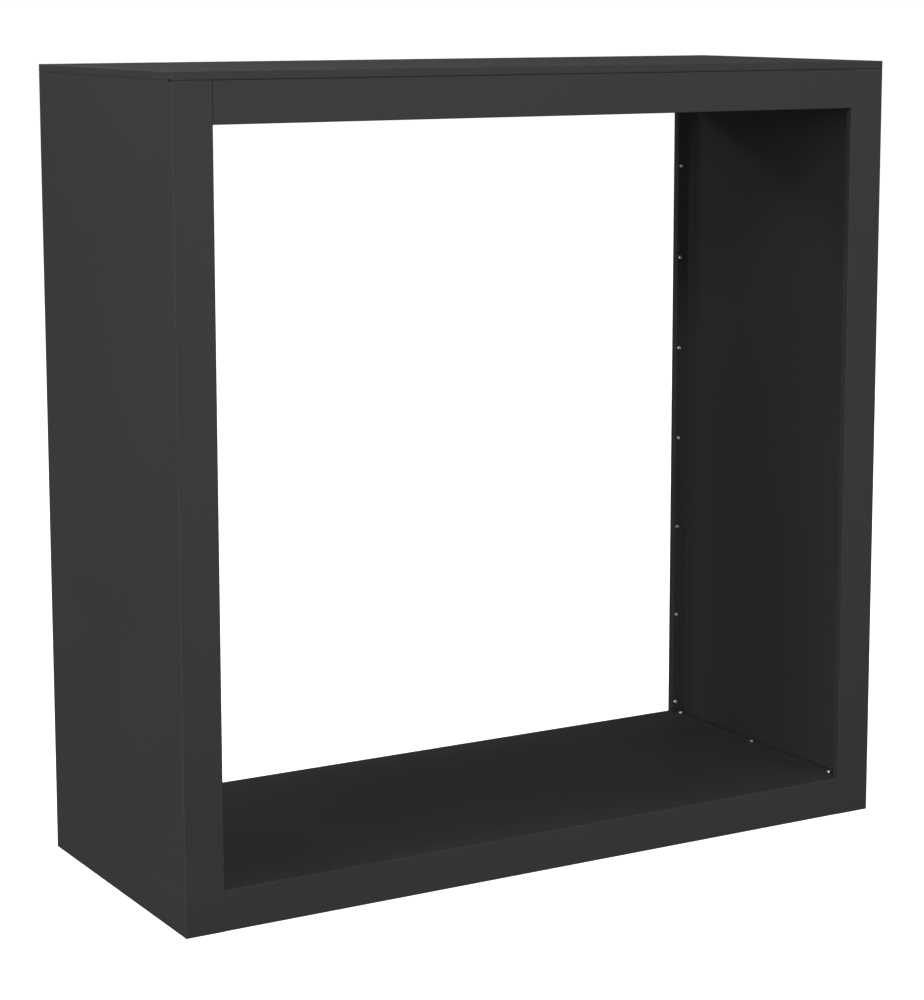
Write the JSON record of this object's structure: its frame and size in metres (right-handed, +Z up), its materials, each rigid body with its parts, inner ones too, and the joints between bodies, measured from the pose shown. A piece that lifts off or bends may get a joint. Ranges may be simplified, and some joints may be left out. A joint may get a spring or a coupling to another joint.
{
  "type": "firewood log rack",
  "caption": "Open-fronted, open-backed upright box of folded sheet steel for stacking firewood logs, with a flat lid and recessed screwed side linings.",
  "frame": {"origin": "centre of the footprint, on the ground", "axes": "+Z up, +Y from the front opening to the rear opening, +X to the right seen from the front"},
  "size_m": [1, 0.4, 1],
  "materials": {
    "powder_coat": "satin anthracite powder coat on sheet steel, fine texture",
    "zinc": "bright zinc-plated steel"
  },
  "bodies": {
    "root": {"bottom_tray": "powder_coat", "top_tray": "powder_coat", "lid": "powder_coat", "left_side_panel": "powder_coat", "right_side_panel": "powder_coat", "left_inner_panel": "powder_coat", "right_inner_panel": "powder_coat", "floor_rib_left": "powder_coat", "floor_rib_middle": "powder_coat", "floor_rib_right": "powder_coat", "left_front_screws": "zinc", "left_rear_screws": "zinc", "left_floor_screws": "zinc", "left_top_screws": "zinc", "right_front_screws": "zinc", "right_rear_screws": "zinc", "right_floor_screws": "zinc", "right_top_screws": "zinc", "lid_front_screws": "zinc", "lid_rear_screws": "zinc"}
  },
  "joints": []
}
